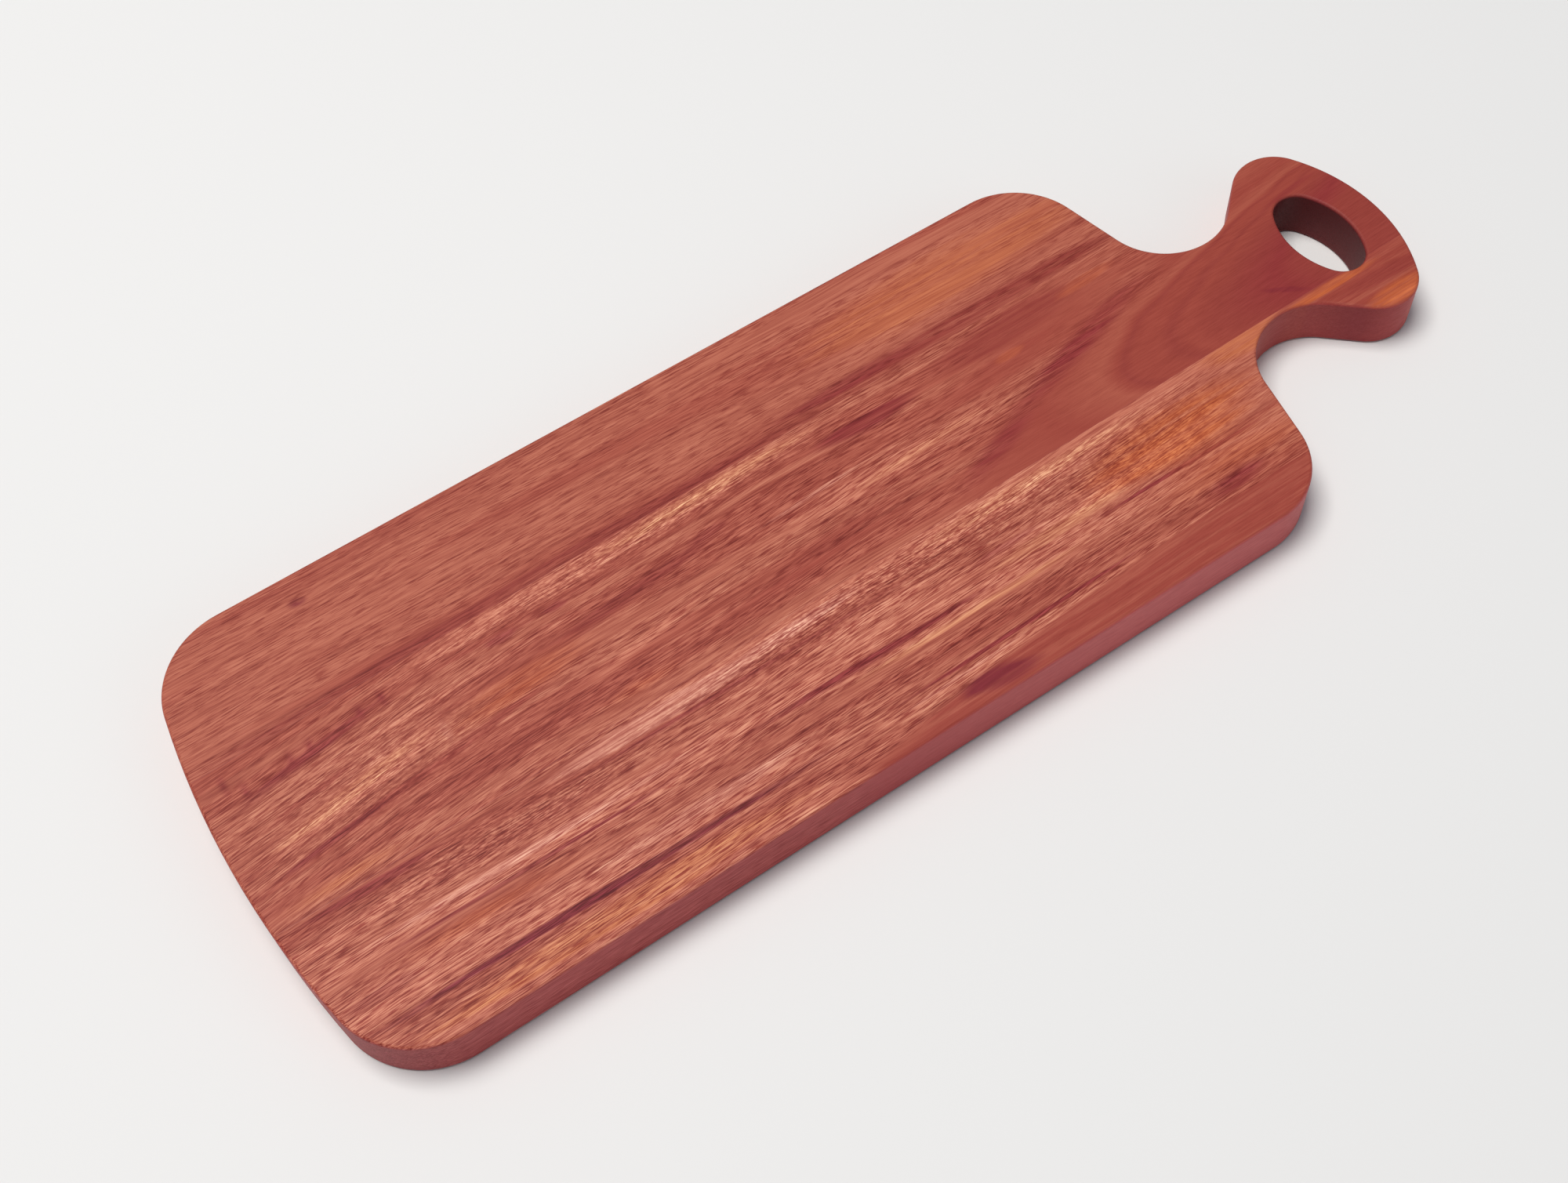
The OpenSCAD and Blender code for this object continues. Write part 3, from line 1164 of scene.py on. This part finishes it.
def near_wood() -> WoodFinish:
    """The near stave: light, speckled wood with dark wavy streaks."""
    return WoodFinish(
        name="near_wood",
        seed=71.0,
        lean=0.7,
        bands=((0.0, Tone.CHESTNUT), (0.25, Tone.COPPER), (1.0, Tone.HONEY)),
        strokes=(
            Strokes(45.0, 1.3, dark=0.4, light=0.35),
            Strokes(4.5, 14.0, dark=0.25, light=0.2, within=(RIPPLE,)),
            Strokes(5.0, 3.0, dark=0.7, light=0.4, wave=2.5, within=(BURL,)),
            Strokes(7.0, 2.0, dark=0.15, light=0.25, wave=1.0, patchy=True),
            Strokes(16.0, 0.45, dark=0.65, light=0.5, wave=0.4, tilt=1.0),
            Strokes(
                2.2, 0.45,
                dark=0.65, light=0.7, wave=0.5, edge=0.10, detail=3.0, within=NEAR_SPECKS,
            ),
            Strokes(
                7.0, 0.38,
                dark=1.0, light=0.55, wave=0.3, tilt=3.0, edge=0.08, patchy=True, detail=3.0,
            ),
        ),
        streaks=(
            Streak(Patch(0.0, -26.3, 138.0, 5.0, 0.7), Tone.HONEY, 1.0),
            Streak(Patch(-92.0, -29.0, 48.0, 4.2), Tone.BLUSH, 0.95),
            Streak(Patch(-42.0, -27.5, 28.0, 2.8, 1.0), Tone.BLUSH, 0.8),
            Streak(Patch(50.0, -26.0, 60.0, 3.4, 1.0), Tone.STRAW, 0.5),
            Streak(Patch(-194.0, -28.8, 26.0, 2.2, -1.0), Tone.MAROON, 0.9),
            Streak(Patch(-68.0, -33.6, 76.0, 1.1, 0.3), Tone.MAROON, 0.8),
            Streak(Patch(-148.0, -38.7, 46.0, 4.0, -1.0), Tone.RUST, 0.65),
            Streak(Patch(-38.0, -38.0, 66.0, 2.6, 0.3), Tone.HONEY, 0.8),
            Streak(Patch(30.0, -41.2, 17.0, 1.8, 1.0), Tone.MAROON, 0.6),
            Streak(Patch(-70.0, -45.5, 155.0, 2.6, core=0.6), Tone.HONEY, 0.95),
            Streak(Patch(-146.0, -45.6, 74.0, 2.0), Tone.BLUSH, 0.7),
            Streak(Patch(45.0, -46.0, 34.0, 2.8), Tone.STRAW, 0.85),
            Streak(Patch(-30.0, -50.6, 52.0, 2.0), Tone.MAROON, 0.95),
            Streak(Patch(-150.0, -50.3, 70.0, 1.0), Tone.MAROON, 0.9),
            Streak(Patch(96.0, -50.0, 42.0, 1.0), Tone.MAROON, 0.9),
            Streak(Patch(8.0, -54.8, 54.0, 1.6), Tone.STRAW, 0.8),
            Streak(Patch(-168.0, -55.0, 46.0, 4.2, core=0.0), Tone.AMBER, 0.6),
            Streak(Patch(-205.0, -60.0, 16.0, 2.5), Tone.MAROON, 0.5),
            Streak(Patch(-98.0, -63.0, 46.0, 3.2), Tone.BLUSH, 0.45),
            Streak(Patch(28.0, -62.3, 74.0, 5.4, 0.5), Tone.RUST, 0.5),
            Streak(Patch(-128.0, -69.6, 92.0, 2.0, core=0.5, fray=0.8), Tone.PLUM, 0.95),
            Streak(Patch(-158.0, -69.5, 50.0, 1.7), Tone.PLUM, 0.7),
            Streak(Patch(-135.0, -77.5, 75.0, 4.8, core=0.6), Tone.GINGER, 0.8),
            Streak(Patch(-130.0, -77.0, 60.0, 3.0), Tone.STRAW, 0.15),
            Streak(SMOOTH_CORNER, Tone.RUST, 0.95),
            Streak(Patch(-44.0, -79.0, 22.0, 4.4), Tone.CHESTNUT, 0.8),
            Streak(Patch(0.0, -78.5, 17.0, 4.8, -6.0), Tone.PLUM, 1.0),
            Streak(Patch(15.0, -68.0, 60.0, 1.0, 1.0), Tone.MAROON, 0.9),
            Streak(Patch(-8.0, -71.3, 30.0, 1.0, 1.5), Tone.BLUSH, 0.6),
            Streak(Patch(70.0, -69.0, 52.0, 0.8, 2.0), Tone.HONEY, 0.8),
            Streak(Patch(112.0, -57.0, 42.0, 12.0, 1.0, core=0.0), Tone.AMBER, 0.6),
            Streak(Patch(107.0, -63.5, 20.0, 4.8, 2.0, core=0.2), Tone.MAROON, 1.0),
            Streak(Patch(100.0, -38.0, 44.0, 14.0, 1.0), Tone.EMBER, 0.7),
            Streak(Patch(95.0, -42.0, 48.0, 9.0, 1.0, core=0.0), Tone.APRICOT, 0.5),
            Streak(Patch(148.0, -22.0, 26.0, 6.0), Tone.GINGER, 0.9),
            Streak(NEAR_EAR, Tone.RUST, 0.95),
            Streak(Patch(184.0, -20.8, 30.0, 2.2, 0.5), Tone.EMBER, 1.0),
            Streak(Patch(206.0, -27.5, 26.0, 4.0, -3.0), Tone.BRICK, 0.9),
            Streak(Patch(206.0, -36.5, 20.0, 6.0), Tone.EMBER, 0.85),
            Streak(Patch(207.0, -38.0, 12.0, 2.5), Tone.APRICOT, 0.5),
        ),
        # Painted shade: the near stave's walls lean further towards the shaded rose tone.
        wall_shade_share=0.8,
        calm=(
            SMOOTH_CORNER,
            NEAR_EAR,
            Patch(170.0, -20.0, 50.0, 20.0, core=0.5),
            Patch(130.0, -42.0, 105.0, 60.0, core=-0.6, fray=0.2),
        ),
        # Painted shade and light on the near stave's walls.
        painted_wall_shading=(
            # Painted shade: the hand hole's wall darkened as if in shade.
            Streak(HAND_HOLE, Tone.HOLE_SHADE, 0.9),
            # Painted shade: the wall at the blunt end's near corner darkened.
            Streak(Patch(-215.0, -72.0, 45.0, 30.0, core=0.2, fray=0.0), Tone.PLUM, 0.35),
            # Painted light: the long near wall lightened with a cool pink, standing for cool reflected
            # light.
            Streak(Patch(70.0, -85.0, 150.0, 25.0, core=0.1, fray=0.0), Tone.WALL_COOL_LIGHT, 0.9),
            # Painted shade: the neck hollow's wall darkened, with a deeper patch at its middle.
            Streak(Patch(165.0, -30.0, 40.0, 20.0, core=0.3, fray=0.0), Tone.BRICK, 0.4),
            Streak(Patch(191.0, -33.0, 20.0, 16.0, core=0.0, fray=0.0), Tone.PLUM, 0.6),
        ),
    )


@dataclass(frozen=True)
class SoftLight:
    """A square studio light."""

    name: str
    place: Triple
    side: float
    watts: float
    colour: Colour

    def add(self, aim: Vector) -> None:
        """Hang the light and turn it to the board.

        Args:
            aim: What the light points at.
        """
        data = bpy.data.lights.new(self.name, "AREA")
        data.shape = "SQUARE"
        data.size = self.side
        data.energy = self.watts
        data.color = self.colour
        lamp = bpy.data.objects.new(self.name, data)
        lamp.location = self.place
        lamp.rotation_euler = (aim - Vector(self.place)).to_track_quat("-Z", "Y").to_euler()
        bpy.context.scene.collection.objects.link(lamp)


@dataclass(frozen=True)
class Studio:
    """The floor, the lights and the camera."""

    floor_side: float = 8.0
    floor_drop: float = 0.1 * MM
    floor_tone: Colour = (0.80, 0.79, 0.78)
    floor_shade: float = 0.985
    floor_mottle: Triple = (400.0, 400.0, 400.0)
    floor_detail: float = 3.0
    floor_roughness: float = 0.8
    floor_relief: float = 0.00001
    room_tone: Colour = (0.82, 0.90, 1.0)
    ambient: float = 0.25
    image_width: float = 2000.0
    focal_pixels: float = 2520.87
    sensor_width: float = 36.0
    azimuth: float = -30.115
    elevation: float = 57.91
    roll: float = -4.492
    distance: float = 0.64933
    target: Triple = (-0.0315, -0.00414, 0.0)
    nearest: float = 0.01

    LIGHTS: ClassVar[tuple[SoftLight, ...]] = (
        SoftLight("overhead_softbox", (-0.525, 0.525, 2.85), 1.5, 81.0, (1.0, 0.98, 0.95)),
        SoftLight("front_fill", (1.75, -4.0, 1.75), 3.0, 18.75, (0.86, 0.92, 1.0)),
    )

    def add_floor(self) -> None:
        """Lay the pale floor just under the board."""
        mesh = bmesh.new()
        bmesh.ops.create_grid(mesh, x_segments=1, y_segments=1, size=self.floor_side / 2)
        bmesh.ops.translate(mesh, verts=mesh.verts[:], vec=(0.0, 0.0, -self.floor_drop))
        data = bpy.data.meshes.new("studio_floor")
        mesh.to_mesh(data)
        mesh.free()
        floor = bpy.data.objects.new("studio_floor", data)
        bpy.context.scene.collection.objects.link(floor)
        sheet = Sheet("pale_floor")
        mottle = sheet.cloud(sheet.stretch(sheet.place, self.floor_mottle), self.floor_detail)
        tint = tuple(part * self.floor_shade for part in self.floor_tone)
        colour = sheet.blend(self.floor_tone, tint, mottle)
        data.materials.append(sheet.finish(colour, self.floor_roughness, mottle, self.floor_relief))

    def add_lights(self) -> None:
        """Hang the soft lights and set the even light of the room."""
        aim = Vector(self.target)
        for light in self.LIGHTS:
            light.add(aim)
        world = bpy.data.worlds.new("studio_room")
        world.use_nodes = True
        room = world.node_tree.nodes["Background"]
        room.inputs["Color"].default_value = (*self.room_tone, 1.0)
        room.inputs["Strength"].default_value = self.ambient
        bpy.context.scene.world = world

    def add_camera(self) -> None:
        """Set the camera at the photograph's viewing angle."""
        turn, rise, roll = (math.radians(a) for a in (self.azimuth, self.elevation, self.roll))
        back = Vector((math.sin(turn) * math.cos(rise), -math.cos(turn) * math.cos(rise), math.sin(rise)))
        level = (-back).cross(Vector((0.0, 0.0, 1.0))).normalized()
        upright = level.cross(-back)
        right = math.cos(roll) * level + math.sin(roll) * upright
        up = math.cos(roll) * upright - math.sin(roll) * level
        data = bpy.data.cameras.new("photo_camera")
        data.sensor_fit = "HORIZONTAL"
        data.sensor_width = self.sensor_width
        data.lens = self.sensor_width * self.focal_pixels / self.image_width
        data.clip_start = self.nearest
        camera = bpy.data.objects.new("photo_camera", data)
        place = Matrix((right, up, back)).transposed().to_4x4()
        place.translation = Vector(self.target) + back * self.distance
        camera.matrix_world = place
        bpy.context.scene.collection.objects.link(camera)
        bpy.context.scene.camera = camera

    def build(self) -> None:
        """Set up the whole studio."""
        self.add_camera()
        self.add_floor()
        self.add_lights()
        bpy.context.scene.view_settings.view_transform = "Standard"


def main() -> None:
    """Build the board and its studio."""
    logging.basicConfig(level=logging.INFO)
    finishes = {
        Slot.FAR_WOOD: far_wood().dress(),
        Slot.CENTRE_WOOD: centre_wood().dress(),
        Slot.NEAR_WOOD: near_wood().dress(),
        Slot.GLUE: GlueFinish("glue").dress(),
    }
    ServingBoard().build(finishes)
    Studio().build()


if __name__ == "__main__":
    main()
